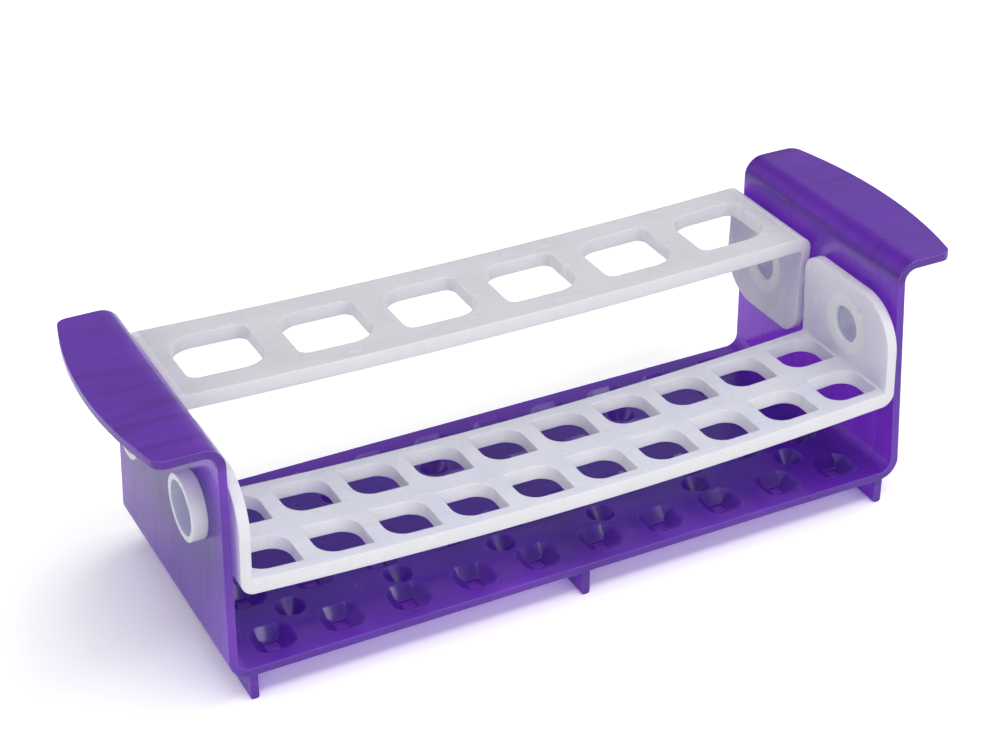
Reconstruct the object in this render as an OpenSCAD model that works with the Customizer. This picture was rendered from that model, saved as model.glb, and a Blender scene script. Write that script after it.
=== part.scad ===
// Two-tray flip rack for laboratory tubes.
//
// A one-piece base carries two trays on hollow bosses that snap through its end walls.
// The front tray has twenty small holes and the rear tray has six large ones. Either
// tray can be turned over its pivots, plate down for short tubes or plate up for tall
// ones. The floor is dimpled with cups that hold the tips of the tubes.
//
// Frame: millimetres, X along the rack, Y from front to back, Z up, bench at Z = 0,
// origin under the middle of the floor.

/* [Base] */
// Length over the end walls at floor level
base_len = 264; // [220:1:320]
// Depth of the floor from front to back
base_depth = 106; // [90:1:130]
// Thickness of the floor, walls and handles
sheet_t = 3; // [2:0.1:4]
// Height of the rib feet under the floor
foot_h = 9.6; // [6:0.1:14]
// Thickness of each rib foot
foot_t = 3; // [2.4:0.1:5]
// Radius of the lower edges of the feet
foot_round = 1; // [0.5:0.1:1.1]
// Distance of the outer feet from the end of the floor
foot_inset = 7.9; // [7:0.1:30]
// How far the feet stop short of the back edge of the floor
foot_back_gap = 6; // [1:0.5:20]
// Height of the handle tops above the bench
top_z = 97.6; // [92:0.2:110]
// Inward lean of the end walls, in degrees
wall_lean = 2; // [0.5:0.1:2.4]
// How much each edge of the wall draws in at the top
edge_taper = 3; // [1:0.1:6]
// Outer radius of the bend from floor to wall
low_bend_r = 7.6; // [5:0.1:9]
// Outer radius of the bend from wall to handle
top_bend_r = 7.5; // [5:0.1:9]

/* [Handles] */
// Reach of the handle past the wall at its middle
grip_reach = 21.6; // [14:0.2:30]
// Radius of the bowed outer edge of the handle
grip_bow_r = 182; // [140:1:260]
// Radius of the outer corners of the handle
grip_corner_r = 4.5; // [3:0.5:10]

/* [Pivots] */
// Height of the pivot axes above the bench
pivot_z = 63.8; // [60:0.1:66]
// Distance of each pivot axis from the middle of the rack
pivot_y = 27.45; // [27:0.05:29]
// Outer radius of the pivot boss
boss_r = 11.6; // [9:0.1:14]
// Wall thickness of the hollow boss
boss_wall = 2.2; // [1.6:0.1:3.5]
// How far the boss stands out from the end wall
boss_proud = 5; // [2:0.1:7]
// Radial clearance of the boss in its hole
pivot_gap = 0.05; // [0.02:0.01:0.1]

/* [Trays] */
// Overall length of a tray over its ears
tray_len = 252.4; // [216:0.2:306]
// Width of the small-hole tray
small_tray_w = 53; // [50:0.5:53.5]
// Width of the large-hole tray
large_tray_w = 48.5; // [44:0.5:52]
// Thickness of the tray plates
tray_t = 5.6; // [3.5:0.1:6.5]
// Thickness of the ears
ear_t = 3.8; // [3:0.1:5]
// How far each ear leans in between plate and tip
ear_lean = 1.2; // [0.2:0.1:1.5]
// Distance from the pivot axis to the outer face of the plate
plate_drop = 21.4; // [18:0.1:23]
// Length of the small-hole tray's ears past the pivot axis
small_rise = 18.2; // [15:0.1:21]
// Length of the large-hole tray's ears past the pivot axis
large_rise = 20.4; // [15:0.1:21]
// Outer radius where plate and ear meet
tray_bend_r = 5; // [3:0.1:7]
// Size of the chamfer inside the corner of plate and ear
root_chamfer = 0.6; // [0.4:0.1:1.5]
// Radius of the ear corner towards the front
ear_front_r = 18; // [8:0.5:18]
// Radius of the ear corner towards the back
ear_back_r = 8; // [6:0.5:12]
// Sag of the small-hole plate at mid length
small_sag = 4; // [1:0.1:6]
// Sag of the large-hole plate at mid length
large_sag = 2.4; // [1:0.1:6]

/* [Tube holes] */
// Spacing of the small holes along the rack
small_pitch = 24.95; // [21:0.05:27]
// Spacing of the two rows of small holes
row_pitch = 26.5; // [22:0.1:28]
// Length of the small leaf-shaped holes along the rack
small_hole_x = 18.8; // [12:0.1:19.4]
// Width of the small leaf-shaped holes across the rack
small_hole_y = 18; // [12:0.1:19.4]
// Radius of the two rounded corners of a small hole
small_round = 7; // [3:0.1:9]
// Radius of the two sharper corners of a small hole
small_tight = 0.8; // [0.4:0.1:3]
// Number of small holes in a row
small_count = 10; // [6:1:10]
// Spacing of the large holes along the rack
large_pitch = 40.2; // [36:0.1:42]
// Length of the large holes along the rack
large_hole_x = 30.6; // [26:0.1:33]
// Width of the large holes across the rack
large_hole_y = 29; // [26:0.1:33]
// Number of large holes
large_count = 6; // [4:1:6]
// Larger corner radius of the large holes
large_round = 11; // [7:0.5:12]
// Smaller corner radius of the large holes
large_tight = 3.6; // [2:0.1:6]

/* [Floor cups] */
// Radius of the round mouth of a square cup
cup_mouth_r = 8.5; // [6:0.1:9.5]
// Half width of the square cup at the floor
cup_half = 7.5; // [5:0.1:8.5]
// Half width of the pocket at the bottom of a square cup
pocket_half = 2.7; // [1.5:0.1:4]
// Depth of the sloping part of a square cup
cup_depth = 3.3; // [2:0.1:4.5]
// Depth of the small square pocket
pocket_depth = 1.2; // [0.5:0.1:2]
// Radius of the mouth of a round cup
cone_mouth_r = 5.5; // [4:0.1:6.5]
// Radius at the bottom of a round cup
cone_tip_r = 1.6; // [1:0.1:3]
// Depth of a round cup
cone_depth = 5; // [3:0.1:5.5]
// Material left under the cups
cup_skin = 1.6; // [1:0.1:2]
// Radius of the gate dimples in the floor
gate_r = 1.2; // [0.5:0.1:1.5]

/* [Hidden] */
skim = 0.04;
floor_z = foot_h + sheet_t;
half_len = base_len / 2;
half_dep = base_depth / 2;
grip_half = half_dep - edge_taper;

// centre of the bend from floor to wall, in the XZ plane
low_cx = half_len - low_bend_r;
low_cz = foot_h + low_bend_r;
// length of the straight wall, and centre of the bend from wall to handle
top_in_r = top_bend_r - sheet_t;
bend_sum = low_bend_r + top_in_r;
wall_run = (top_z - top_bend_r - low_cz - bend_sum * sin(wall_lean)) / cos(wall_lean);
top_cx = low_cx + bend_sum * cos(wall_lean) - wall_run * sin(wall_lean);
top_cz = top_z - top_bend_r;
// outer face of the wall at pivot height
wall_x = low_cx + (low_bend_r - (pivot_z - low_cz) * sin(wall_lean)) / cos(wall_lean);

// plan of the handle: bowed edge, end lines and the fillets between them
grip_x = top_cx + grip_reach;
bow_cx = grip_x - grip_bow_r;
fil_y = grip_half - grip_corner_r;
fil_x = bow_cx + sqrt(pow(grip_bow_r - grip_corner_r, 2) - pow(fil_y, 2));
tan_k = grip_bow_r / (grip_bow_r - grip_corner_r);
tan_x = bow_cx + (fil_x - bow_cx) * tan_k;
tan_y = fil_y * tan_k;

ear_x = tray_len / 2;
boss_end = wall_x + boss_proud;
bore_r = boss_r - boss_wall;
// inner end of the boss, inside the ear, and outer face of the web behind its bore
boss_root = ear_x - ear_t * 0.6;
web_x = ear_x - ear_t * 0.2 - ear_lean / 2;
web_hole_r = bore_r - 2.3;

// ---- shared shapes -------------------------------------------------------

// sheet bend about a Y axis through (cx, cz), from angle a0 over sweep degrees
module bend(cx, cz, r_out, t, a0, sweep, depth) {
    translate([cx, 0, cz])
        rotate([90, 0, 0])
            rotate([0, 0, a0])
                rotate_extrude(angle = sweep, $fn = 96)
                    translate([r_out - t, -depth / 2])
                        square([t, depth]);
}

// long-radius cylinder lying along Y, for the bowed plates
module bow_bar(z, r, depth) {
    translate([0, 0, z])
        rotate([90, 0, 0])
            cylinder(h = depth, r = r, center = true, $fn = 1440);
}

// cylinder lying along X, from x0 to x1
module bar_x(x0, x1, y, z, r) {
    translate([x0, y, z])
        rotate([0, 90, 0])
            cylinder(h = x1 - x0, r = r, $fn = 96);
}

// ---- base ----------------------------------------------------------------

module floor_plate() {
    translate([-low_cx, -half_dep, foot_h])
        cube([2 * low_cx, base_depth, sheet_t]);
}

module end_wall() {
    bend(low_cx, low_cz, low_bend_r, sheet_t, -90, 90 + wall_lean, base_depth);
    translate([low_cx, 0, low_cz])
        rotate([0, -wall_lean, 0])
            translate([low_bend_r - sheet_t + skim, -half_dep, -0.4])
                cube([sheet_t - 2 * skim, base_depth, wall_run + 0.8]);
    bend(top_cx, top_cz, top_bend_r, sheet_t, 90, 90 + wall_lean, base_depth);
}

// everything past these slopes is trimmed from the front and back edges of the walls
module edge_trim() {
    rotate([90, 0, 90])
        linear_extrude(height = base_len + 60, center = true)
            polygon([[half_dep, floor_z], [half_dep + 10, floor_z],
                     [half_dep + 10, top_z + 5], [grip_half, top_z + 5], [grip_half, top_cz]]);
}

module grip_plan() {
    polygon([[top_cx, -grip_half], [fil_x, -grip_half], [tan_x, -tan_y],
             [tan_x, tan_y], [fil_x, grip_half], [top_cx, grip_half]]);
    intersection() {
        translate([bow_cx, 0]) circle(r = grip_bow_r, $fn = 240);
        translate([tan_x, -tan_y]) square([30, 2 * tan_y]);
    }
    for (s = [-1, 1])
        translate([fil_x, s * fil_y]) circle(r = grip_corner_r, $fn = 64);
}

module grip() {
    translate([0, 0, top_z - sheet_t])
        linear_extrude(height = sheet_t)
            grip_plan();
}

// rib foot along Y with rounded lower edges
module foot(x) {
    h = foot_t / 2;
    r = foot_round;
    translate([x, half_dep - foot_back_gap, 0])
        rotate([90, 0, 0])
            linear_extrude(height = base_depth - foot_back_gap) {
                polygon([[-h, foot_h + 0.5], [-h, r], [r - h, 0],
                         [h - r, 0], [h, r], [h, foot_h + 0.5]]);
                for (s = [-1, 1])
                    translate([s * (h - r), r]) circle(r = r, $fn = 48);
            }
}

// square cup: where a cone and a four-sided pit overlap, with a pocket at the bottom
module square_cup_void() {
    slope = (cup_half - pocket_half) / cup_depth;
    intersection() {
        translate([0, 0, -cup_depth])
            cylinder(h = cup_depth + 1, r1 = pocket_half * 1.6,
                     r2 = cup_mouth_r + (cup_mouth_r - pocket_half * 1.6) / cup_depth, $fn = 64);
        translate([0, 0, -cup_depth])
            rotate([0, 0, 45])
                cylinder(h = cup_depth + 1, r1 = pocket_half * sqrt(2),
                         r2 = (cup_half + slope) * sqrt(2), $fn = 4);
    }
    pit = pocket_half - 0.15;
    translate([-pit, -pit, -cup_depth - pocket_depth])
        cube([2 * pit, 2 * pit, pocket_depth + 0.5]);
}

module square_cup_skin() {
    low = cup_depth + pocket_depth + cup_skin - sheet_t;
    translate([0, 0, -sheet_t - low])
        rotate([0, 0, 45])
            cylinder(h = low + 0.5, r1 = (pocket_half + cup_skin) * sqrt(2),
                     r2 = (pocket_half + cup_skin + 2.2) * sqrt(2), $fn = 4);
}

module round_cup_void() {
    translate([0, 0, -cone_depth])
        cylinder(h = cone_depth + 1, r1 = cone_tip_r,
                 r2 = cone_mouth_r + (cone_mouth_r - cone_tip_r) / cone_depth, $fn = 64);
}

module round_cup_skin() {
    low = cone_depth + cup_skin - sheet_t;
    translate([0, 0, -sheet_t - low])
        cylinder(h = low + 0.5, r1 = cone_tip_r + cup_skin, r2 = cone_mouth_r + cup_skin * 0.6, $fn = 64);
}

// places its children at every square cup
module at_square_cups() {
    for (side = [-1, 1], row = [-1, 1], i = [0 : small_count - 1])
        translate([(i - (small_count - 1) / 2) * small_pitch,
                   side * pivot_y + row * row_pitch / 2, floor_z])
            children();
}

// places its children at every round cup
module at_round_cups() {
    for (side = [-1, 1], i = [0 : large_count - 1])
        translate([(i - (large_count - 1) / 2) * large_pitch, side * pivot_y, floor_z])
            children();
}

module gate_dimples() {
    for (side = [-1, 1], x = [-1.87, 0, 1.87])
        translate([x * large_pitch, side * pivot_y, floor_z - 0.4])
            cylinder(h = 1, r = gate_r, $fn = 32);
}

module base() {
    color("#5b3a9a")
        difference() {
            union() {
                floor_plate();
                difference() {
                    union() {
                        end_wall();
                        mirror([1, 0, 0]) end_wall();
                    }
                    edge_trim();
                    mirror([0, 1, 0]) edge_trim();
                }
                grip();
                mirror([1, 0, 0]) grip();
                foot(0);
                foot(half_len - foot_inset);
                foot(foot_inset - half_len);
                at_square_cups() square_cup_skin();
                at_round_cups() round_cup_skin();
            }
            at_square_cups() square_cup_void();
            at_round_cups() round_cup_void();
            gate_dimples();
            for (side = [-1, 1])
                bar_x(-half_len - 5, half_len + 5, side * pivot_y, pivot_z, boss_r + pivot_gap);
        }
}

// ---- trays ---------------------------------------------------------------
// A tray is drawn about its own pivot axis with the plate below it. A positive sag bows
// the plate away from the axis and a negative one bows it towards the axis.

module plate(w, sag, rise) {
    up = sag < 0 ? -1 : 1;
    bow = abs(sag);
    chord = ear_x - max(ear_t + root_chamfer, tray_bend_r);
    r_out = round((chord * chord + bow * bow) / bow * 5) / 10;
    r_far = up > 0 ? r_out - skim : r_out + tray_t - skim;
    r_near = up > 0 ? r_out - tray_t + skim : r_out + skim;
    cz = -plate_drop - sag + up * r_out;
    end_z = round((cz - up * sqrt(r_out * r_out - chord * chord)) * 1000) / 1000;
    intersection() {
        difference() {
            bow_bar(cz, r_far, w);
            bow_bar(cz, r_near, w + 2);
        }
        translate([-chord, -w / 2 - 1, -plate_drop - bow - 5])
            cube([2 * chord, w + 2, 2 * bow + tray_t + 10]);
    }
    plate_end(w, chord, end_z, rise);
    mirror([1, 0, 0]) plate_end(w, chord, end_z, rise);
}

// ear with the end of the plate, rounded outside where they meet
module plate_end(w, chord, end_z, rise) {
    difference() {
        translate([0, w / 2, 0])
            rotate([90, 0, 0])
                linear_extrude(height = w)
                    polygon([[chord, end_z], [ear_x, end_z], [ear_x, end_z + tray_bend_r],
                             [ear_x - ear_lean, rise], [ear_x - ear_lean - ear_t, rise],
                             [ear_x - ear_t, end_z + tray_t + root_chamfer],
                             [ear_x - ear_t - root_chamfer, end_z + tray_t],
                             [chord, end_z + tray_t]]);
        difference() {
            translate([ear_x - tray_bend_r, -w / 2 - 1, end_z - 1])
                cube([tray_bend_r + 1, w + 2, tray_bend_r + 1]);
            translate([ear_x - tray_bend_r, 0, end_z + tray_bend_r])
                rotate([90, 0, 0])
                    cylinder(h = w + 4, r = tray_bend_r, center = true, $fn = 96);
        }
    }
}

// removes the corner of an ear at (y, rise), rounding it to radius r
module ear_corner(y, dir, r, rise) {
    difference() {
        translate([-ear_x - 1, y - (dir > 0 ? r : 1), rise - r])
            cube([tray_len + 2, r + 1, r + 1]);
        translate([0, y - dir * r, rise - r])
            rotate([0, 90, 0])
                cylinder(h = tray_len + 4, r = r, center = true, $fn = 96);
    }
}

module tray_body(w, sag, rise) {
    difference() {
        union() {
            plate(w, sag, rise);
            bar_x(boss_root, boss_end, 0, 0, boss_r);
            bar_x(-boss_end, -boss_root, 0, 0, boss_r);
        }
        ear_corner(-w / 2, -1, ear_front_r, rise);
        ear_corner(w / 2, 1, ear_back_r, rise);
        bar_x(web_x, boss_end + 1, 0, 0, bore_r);
        bar_x(-boss_end - 1, -web_x, 0, 0, bore_r);
        bar_x(-boss_end - 1, boss_end + 1, 0, 0, web_hole_r);
    }
}

// square-sided hole with two opposite corners of radius ra and two of radius rb
module rounded_void(size_x, size_y, ra, rb, depth) {
    hx = size_x / 2;
    hy = size_y / 2;
    linear_extrude(height = depth, center = true)
        polygon([[-hx, hy - rb], [-hx + rb, hy], [hx - ra, hy], [hx, hy - ra],
                 [hx, -hy + rb], [hx - rb, -hy], [-hx + ra, -hy], [-hx, -hy + ra]]);
    for (s = [-1, 1]) {
        translate([s * (hx - ra), s * (hy - ra), 0])
            cylinder(h = depth, r = ra, center = true, $fn = 64);
        translate([s * (hx - rb), -s * (hy - rb), 0])
            cylinder(h = depth, r = rb, center = true, $fn = 64);
    }
}

module small_tray() {
    color("#e6e8ec", 0.8)
        translate([0, -pivot_y, pivot_z])
            difference() {
                tray_body(small_tray_w, small_sag, small_rise);
                for (row = [-1, 1], i = [0 : small_count - 1])
                    translate([(i - (small_count - 1) / 2) * small_pitch, row * row_pitch / 2,
                               -plate_drop])
                        rounded_void(small_hole_x, small_hole_y, small_round, small_tight,
                                     3 * tray_t + 2 * small_sag);
            }
}

module large_tray() {
    color("#e6e8ec", 0.8)
        translate([0, pivot_y, pivot_z])
            rotate([180, 0, 0])
                difference() {
                    tray_body(large_tray_w, -large_sag, large_rise);
                    for (i = [0 : large_count - 1])
                        translate([(i - (large_count - 1) / 2) * large_pitch, 0, -plate_drop])
                            rounded_void(large_hole_x, large_hole_y, large_round, large_tight,
                                         3 * tray_t + 2 * large_sag);
                }
}

base();
small_tray();
large_tray();
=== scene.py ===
import math

import bpy
from mathutils import Matrix, Vector

# Flip-tray tube rack: every shape is a CAD node, so this script gives the nodes their
# materials and adds the floor, the light and the camera. Lengths are metres, as in the
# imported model: X along the rack, Y from front to back, Z up, bench at Z = 0.

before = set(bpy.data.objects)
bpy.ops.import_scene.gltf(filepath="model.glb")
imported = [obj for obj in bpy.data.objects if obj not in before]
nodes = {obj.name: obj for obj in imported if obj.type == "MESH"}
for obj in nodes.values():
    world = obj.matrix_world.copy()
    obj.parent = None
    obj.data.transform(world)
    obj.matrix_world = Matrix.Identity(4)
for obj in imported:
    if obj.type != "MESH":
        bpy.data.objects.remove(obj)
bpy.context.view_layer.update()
scene = bpy.context.scene

# Places on the rack that the materials tell apart. Two values are where a mask starts and
# where it is full, and four are where it starts, is full, starts to fall and is gone.
HANDLE_Z = (0.088, 0.092)                     # from wall below to handle above
CUP_Z = (0.0070, 0.0078, 0.0116, 0.0124)      # walls of the floor's cups
POCKET_Z = (0.0070, 0.0074, 0.0082, 0.0086)   # bottoms of the square cups
EAR_X = (0.1195, 0.1225)                      # from tray plate to ear
BORE_X = (0.1230, 0.1240)                     # from ear to hollow boss
RING_R = (0.0055, 0.0075, 0.0108, 0.0124)     # painted light: pale ring round a pivot on the ears
BORE_R = (0.0098, 0.0092)                     # from boss wall to bore
INWARD = -0.02    # x times the normal's x is below this on the ears' inner faces
PIVOT_Y = 0.02745
PIVOT_Z = 0.0638
EDGE_R = 0.00045  # how far from a corner the painted edge highlight reaches
PP_IOR = 1.49


# ---- helpers --------------------------------------------------------------

def rgb(r, g, b):
    return (r, g, b, 1.0)


def put_in_scene(name, data):
    obj = bpy.data.objects.new(name, data)
    scene.collection.objects.link(obj)
    return obj


class Mat:
    """A procedural material: keeps its node tree and makes nodes with their inputs in one call."""

    def __init__(self, name):
        self.mat = bpy.data.materials.new(name)
        self.mat.use_nodes = True
        self.tree = self.mat.node_tree
        self.tree.nodes.clear()
        self.out = self.tree.nodes.new("ShaderNodeOutputMaterial")

    def add(self, kind, inputs=None, **props):
        n = self.tree.nodes.new("ShaderNode" + kind)
        for k, v in props.items():
            setattr(n, k, v)
        for k, v in (inputs or {}).items():
            self.put(n.inputs[k], v)
        return n

    def put(self, socket, v):
        """Links a node's first output or a socket, and sets anything else as the value."""
        if hasattr(v, "is_output") or hasattr(v, "outputs"):
            self.tree.links.new(v.outputs[0] if hasattr(v, "outputs") else v, socket)
        else:
            socket.default_value = v

    def math(self, op, a, b=0.0):
        return self.add("Math", {0: a, 1: b}, operation=op).outputs[0]

    def times(self, a, b):
        return self.math("MULTIPLY", a, b)

    def remap(self, v, lo, hi, to_lo=0.0, to_hi=1.0):
        return self.add("MapRange", {
            "Value": v, "From Min": lo, "From Max": hi,
            "To Min": to_lo, "To Max": to_hi}).outputs["Result"]

    def band(self, v, low, low_full, high_full, high):
        """1 where v is between the two full values, falling to 0 outside."""
        return self.times(self.remap(v, low, low_full), self.remap(v, high, high_full))

    def mix(self, fac, a, b):
        return self.add("Mix", {"Factor": fac, 6: a, 7: b}, data_type="RGBA").outputs[2]

    def noise(self, scale, stretch, detail, rough):
        where = self.add("TexCoord").outputs["Object"]
        mapped = self.add("Mapping", {"Vector": where, "Scale": stretch})
        return self.add("TexNoise", {
            "Vector": mapped, "Scale": scale, "Detail": detail,
            "Roughness": rough}).outputs["Fac"]

    def coords(self):
        """Position and normal of a point in its own piece, each split into X, Y and Z."""
        tc = self.add("TexCoord")
        at = self.add("SeparateXYZ", {"Vector": tc.outputs["Object"]}).outputs
        way = self.add("SeparateXYZ", {"Vector": tc.outputs["Normal"]}).outputs
        return at, way

    def edges(self):
        """1 on sharp edges and 0 on flats, from how far a rounded normal leaves the true one."""
        rounded = self.add("Bevel", {"Radius": EDGE_R}, samples=6)
        true = self.add("NewGeometry").outputs["Normal"]
        dot = self.add("VectorMath", {0: rounded, 1: true}, operation="DOT_PRODUCT")
        return self.remap(dot.outputs["Value"], 0.995, 0.90)


# ---- materials ------------------------------------------------------------

def finish(m, tone, bump_marks, rough_marks, round_r, bump_depth, rough, sockets,
           glow_gain, glow_share):
    """Satin moulded surface over the given colour, with rounded edges and light let through.

    The two marks are the patterns in the bump and in the roughness. The share glow_share of
    the surface passes light on from behind, in the colour times glow_gain.
    """
    grain = m.noise(900.0, (1, 1, 1), 2.0, 0.6)
    soft = m.add("Bevel", {"Radius": round_r}, samples=6).outputs[0]
    height = m.math("ADD", m.times(grain, 0.5), m.times(bump_marks, 0.5))
    bump = m.add("Bump", {
        "Strength": 0.35, "Distance": bump_depth, "Height": height, "Normal": soft})
    plastic = m.add("BsdfPrincipled", {
        "Base Color": tone, "Roughness": m.remap(rough_marks, 0.3, 0.7, *rough),
        "Normal": bump, "Coat Normal": soft, **sockets})
    glow = m.add("VectorMath", {0: tone, 1: glow_gain}, operation="MULTIPLY")
    lit = m.add("BsdfTranslucent", {"Color": glow, "Normal": soft})
    m.put(m.out.inputs["Surface"], m.add("MixShader", {"Fac": glow_share, 1: plastic, 2: lit}))
    return m.mat


def purple_pp():
    """Translucent purple: streaks on the handles, drag down the walls, painted shade in the cups
    and on the handles' sides, painted light on the square cups' bottoms and painted highlights
    along the edges.
    """
    m = Mat("purple_pp")
    at, way = m.coords()
    z = at["Z"]
    nx = m.math("ABSOLUTE", way["X"])
    nz = m.math("ABSOLUTE", way["Z"])
    handle = m.remap(z, *HANDLE_Z)

    cloud = m.noise(22.0, (1, 1.6, 1), 3.0, 0.55)
    flow = m.noise(60.0, (0.25, 2.2, 0.25), 4.0, 0.6)
    tone = m.mix(m.remap(cloud, 0.32, 0.68),
                 rgb(0.092, 0.030, 0.265), rgb(0.076, 0.025, 0.233))
    tone = m.mix(m.remap(flow, 0.5, 0.78, 0.0, 0.35), tone, rgb(0.130, 0.046, 0.305))

    streak = m.remap(m.noise(1.0, (16, 120, 16), 3.0, 0.55), 0.48, 0.66, 0.0, 0.45)
    tone = m.mix(m.times(streak, handle), tone, rgb(0.050, 0.014, 0.150))
    drag = m.remap(m.noise(1.0, (40, 420, 9), 3.0, 0.6), 0.45, 0.70, 0.0, 0.30)
    tone = m.mix(m.times(drag, nx), tone, rgb(0.050, 0.016, 0.210))

    # painted shade: the sloping walls of the floor's cups are darkened as shade in the recesses
    cup_wall_shade = m.times(m.band(z, *CUP_Z), m.remap(nz, 0.95, 0.80, 0.0, 0.45))
    tone = m.mix(cup_wall_shade, tone, rgb(0.040, 0.012, 0.170))
    # painted light: the flat bottoms of the square cups are painted lighter
    pocket_floor_light = m.times(m.band(z, *POCKET_Z), nz)
    tone = m.mix(m.times(pocket_floor_light, 0.5), tone, rgb(0.20, 0.07, 0.36))

    # painted shade: the handles' side faces are darkened as if turned away from the light
    handle_side_shade = m.times(handle, m.remap(nz, 0.5, 0.3, 0.0, 0.7))
    tone = m.mix(handle_side_shade, tone, rgb(0.035, 0.009, 0.125))
    # painted highlight: a pale line along every sharp edge, stronger on the handles
    edge_highlight = m.times(m.edges(), m.remap(handle, 0.0, 1.0, 0.2, 0.45))
    tone = m.mix(edge_highlight, tone, rgb(0.28, 0.18, 0.56))

    marks = m.math("ADD", m.times(cloud, 0.5), m.times(flow, 0.5))
    return finish(
        m, tone, flow, marks, round_r=0.0007, bump_depth=0.00006, rough=(0.15, 0.27),
        sockets={"IOR": PP_IOR, "Subsurface Weight": 1.0, "Subsurface Radius": (1.0, 0.5, 1.6),
                 "Subsurface Scale": 0.0015, "Transmission Weight": 0.08,
                 "Specular IOR Level": 0.5, "Coat Weight": 0.6, "Coat Roughness": 0.06,
                 "Coat IOR": PP_IOR},
        glow_gain=(6.6, 7.6, 3.8), glow_share=0.48)


def natural_pp(name, pivot_y, tops, cheeks):
    """Milky natural plastic: bluish flats, with painted light as whiter cut faces, a pale ring
    round each pivot and white edges, and painted shade in the bores.

    tops are the plate's light, dark and wisp colours, and cheeks the ears' light and dark, tinted
    lavender as painted light from the purple walls behind the ears.
    """
    m = Mat(name)
    at, way = m.coords()
    from_middle = m.math("ABSOLUTE", at["X"])
    ear = m.remap(from_middle, *EAR_X)

    cloud = m.noise(26.0, (1, 1.6, 1), 3.0, 0.55)
    wisp = m.noise(45.0, (0.4, 1.6, 1), 1.5, 0.5)
    clouded = m.remap(cloud, 0.32, 0.68)
    tone = m.mix(ear, m.mix(clouded, tops[0], tops[1]), m.mix(clouded, cheeks[0], cheeks[1]))
    tone = m.mix(m.remap(wisp, 0.38, 0.80, 0.0, 0.5), tone, tops[2])

    # a plate's broad faces look up or down and an ear's look along X; the rest are cut faces,
    # which are painted whiter as painted light for the light the sheet carries out through them
    broad = m.add("Mix", {"Factor": ear, 2: m.math("ABSOLUTE", way["Z"]),
                          3: m.math("ABSOLUTE", way["X"])}, data_type="FLOAT").outputs[0]
    # painted light: cut faces whiter than the flats
    tone = m.mix(m.remap(broad, 0.85, 0.45), tone, rgb(0.91, 0.905, 0.94))

    dy = m.math("SUBTRACT", at["Y"], pivot_y)
    dz = m.math("SUBTRACT", at["Z"], PIVOT_Z)
    r = m.math("SQRT", m.math("ADD", m.times(dy, dy), m.times(dz, dz)))
    # painted light: a pale ring round each pivot on the ears, where no purple shows through
    ring = m.times(m.band(r, *RING_R), ear)
    tone = m.mix(m.times(ring, 0.85), tone, rgb(0.99, 0.985, 0.99))
    # painted shade: the hollow boss's outward-facing end and bore are darkened to a bluish grey
    bore = m.times(m.remap(from_middle, *BORE_X), m.remap(r, *BORE_R))
    outward = m.math("GREATER_THAN", m.times(way["X"], at["X"]), INWARD)
    tone = m.mix(m.times(m.times(bore, outward), 0.85), tone, rgb(0.46, 0.47, 0.70))

    # painted highlight: sharp edges of the trays are painted white
    tone = m.mix(m.times(m.edges(), 0.6), tone, rgb(1.0, 1.0, 1.0))
    return finish(
        m, tone, wisp, cloud, round_r=0.0003, bump_depth=0.00003, rough=(0.20, 0.32),
        sockets={"IOR": PP_IOR, "Subsurface Weight": 1.0, "Subsurface Radius": (1.0, 1.0, 1.0),
                 "Subsurface Scale": 0.0015, "Transmission Weight": 0.0,
                 "Specular IOR Level": 0.5},
        glow_gain=(1.0, 1.0, 1.0), glow_share=0.20)


def dress(node, mat):
    slots = nodes[node].data.materials
    slots.clear()
    slots.append(mat)


dress("base", purple_pp())
# painted light: each tray's cheeks are tinted lavender for the purple light coming through the
# ears from the walls
dress("small_tray", natural_pp(
    "natural_pp_small", -PIVOT_Y,
    tops=(rgb(0.85, 0.86, 0.95), rgb(0.79, 0.80, 0.91), rgb(0.91, 0.915, 0.98)),
    cheeks=(rgb(0.87, 0.85, 0.99), rgb(0.81, 0.78, 0.96))))
# painted shade: the large tray is the same plastic, given darker, greyer tops and deeper cheeks as
# a shaded copy of the small tray's colours
dress("large_tray", natural_pp(
    "natural_pp_large_shaded", PIVOT_Y,
    tops=(rgb(0.80, 0.80, 0.84), rgb(0.75, 0.75, 0.79), rgb(0.86, 0.86, 0.89)),
    cheeks=(rgb(0.73, 0.67, 0.90), rgb(0.67, 0.61, 0.86))))


# ---- floor ----------------------------------------------------------------

FLOOR_R, FLOOR_SIDES = 2.6, 96


def paper():
    """Pale grey paper that the camera sees as white, straight, mirrored or through plastic."""
    m = Mat("studio_floor")
    fibre = m.remap(m.noise(400.0, (1, 1, 1), 2.0, 0.5), 0.3, 0.7)
    grey = m.mix(fibre, rgb(0.80, 0.80, 0.80), rgb(0.81, 0.81, 0.81))
    path = m.add("LightPath").outputs
    seen = m.math("MAXIMUM", path["Is Camera Ray"], path["Is Transmission Ray"])
    seen = m.math("MAXIMUM", seen, path["Is Glossy Ray"])
    colour = m.mix(seen, grey, rgb(1.40, 1.41, 1.36))
    m.put(m.out.inputs["Surface"], m.add("BsdfDiffuse", {"Color": colour, "Roughness": 0.0}))
    return m.mat


turns = [2 * math.pi * i / FLOOR_SIDES for i in range(FLOOR_SIDES)]
disc = bpy.data.meshes.new("studio_floor")
disc.from_pydata([(FLOOR_R * math.cos(a), FLOOR_R * math.sin(a), 0) for a in turns],
                 [], [range(FLOOR_SIDES)])
disc.materials.append(paper())
put_in_scene("studio_floor", disc)


# ---- light ----------------------------------------------------------------

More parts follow.
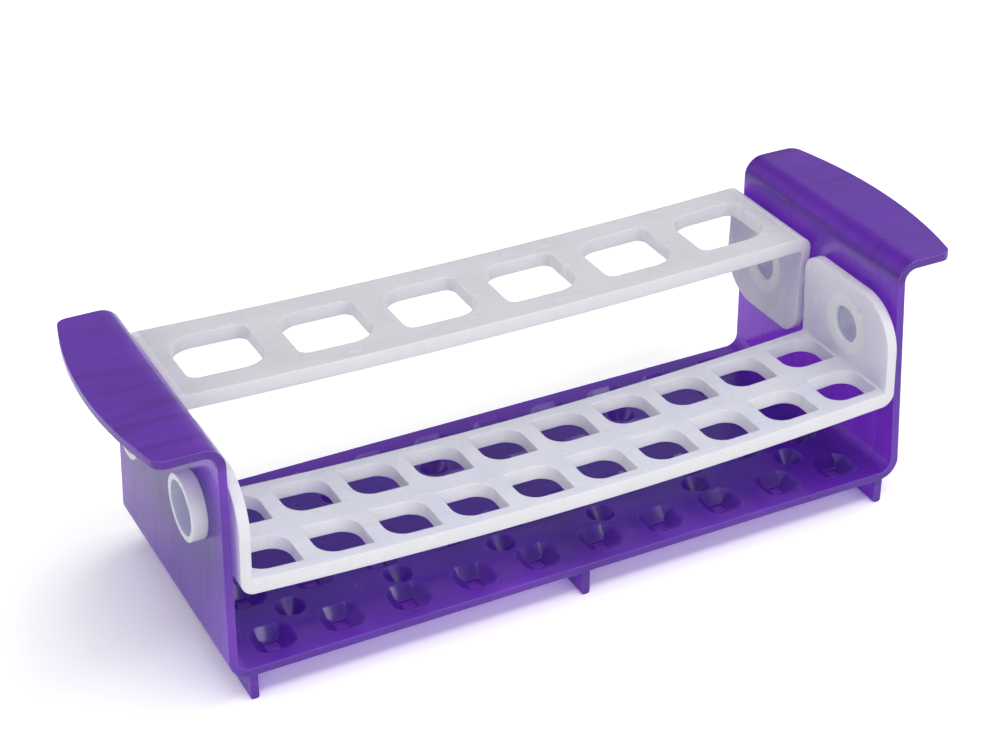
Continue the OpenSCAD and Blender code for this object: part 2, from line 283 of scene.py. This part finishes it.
def studio_world(light, mirrored, mirrored_high, seen):
    """White room: its even light, what gloss mirrors low down and high up, and how it is seen."""
    world = bpy.data.worlds.new("studio_world")
    scene.world = world
    world.use_nodes = True
    tree = world.node_tree
    new, link = tree.nodes.new, tree.links.new

    xyz = new("ShaderNodeSeparateXYZ")
    link(new("ShaderNodeTexCoord").outputs["Generated"], xyz.inputs[0])
    band = new("ShaderNodeMapRange")
    band.interpolation_type = "SMOOTHSTEP"
    link(xyz.outputs["Z"], band.inputs["Value"])
    for socket, v in (("From Min", 0.50), ("From Max", 0.75),
                      ("To Min", mirrored), ("To Max", mirrored_high)):
        band.inputs[socket].default_value = v

    path = new("ShaderNodeLightPath").outputs
    level = light
    for ray, strength in (("Is Glossy Ray", band.outputs[0]),
                          ("Is Transmission Ray", seen), ("Is Camera Ray", seen)):
        pick = new("ShaderNodeMix")
        link(path[ray], pick.inputs["Factor"])
        for socket, v in ((pick.inputs[2], level), (pick.inputs[3], strength)):
            if isinstance(v, float):
                socket.default_value = v
            else:
                link(v, socket)
        level = pick.outputs[0]
    background = tree.nodes["Background"]
    background.inputs["Color"].default_value = rgb(1, 1, 1)
    link(level, background.inputs["Strength"])


LAMP_AIM = Vector((0, 0, 0.05))


def softbox(name, loc, size, power):
    """A rectangular lamp that faces the rack."""
    lamp = bpy.data.lights.new(name, "AREA")
    lamp.shape = "RECTANGLE"
    lamp.size, lamp.size_y = size
    lamp.energy = power
    obj = put_in_scene(name, lamp)
    obj.location = loc
    facing = LAMP_AIM - Vector(loc)
    obj.rotation_euler = facing.to_track_quat("-Z", "Y").to_euler()


studio_world(light=0.12, mirrored=0.52, mirrored_high=0.10, seen=1.0)
softbox("overhead", (0, 0, 3.2), (3.2, 3.2), 28)
softbox("front_left", (-1.2, -3.0, 1.4), (3.0, 2.2), 33)
softbox("front_right", (1.2, -3.0, 1.4), (3.0, 2.2), 36)
softbox("left", (-3.0, 0.4, 1.4), (2.8, 2.2), 28)
softbox("strip", (0.2, -0.9, 2.4), (3.0, 0.25), 14)
softbox("right", (2.6, 0.8, 2.4), (3.4, 3.2), 42)


# ---- camera ---------------------------------------------------------------
# fitted to the edges, feet, holes and pivots in the photograph

CAMERA_AIM = Vector((0.011387, 0.034502, 0.040))
CAMERA_DISTANCE = 0.81222
AZIMUTH, ELEVATION, ROLL = (math.radians(v) for v in (-27.057, 30.819, -0.313))

cam = bpy.data.cameras.new("camera")
cam.sensor_width = 36.0
cam.lens = 78.16
cam.clip_start = 0.01
back = Vector((math.sin(AZIMUTH) * math.cos(ELEVATION),
               -math.cos(AZIMUTH) * math.cos(ELEVATION), math.sin(ELEVATION)))
level_right = (-back).cross(Vector((0, 0, 1))).normalized()
level_up = level_right.cross(-back)
right = level_right * math.cos(ROLL) + level_up * math.sin(ROLL)
up = level_up * math.cos(ROLL) - level_right * math.sin(ROLL)
turn = Matrix((right, up, back)).transposed().to_4x4()
camera = put_in_scene("camera", cam)
camera.matrix_world = Matrix.Translation(CAMERA_AIM + back * CAMERA_DISTANCE) @ turn
scene.camera = camera

scene.view_settings.view_transform = "Standard"
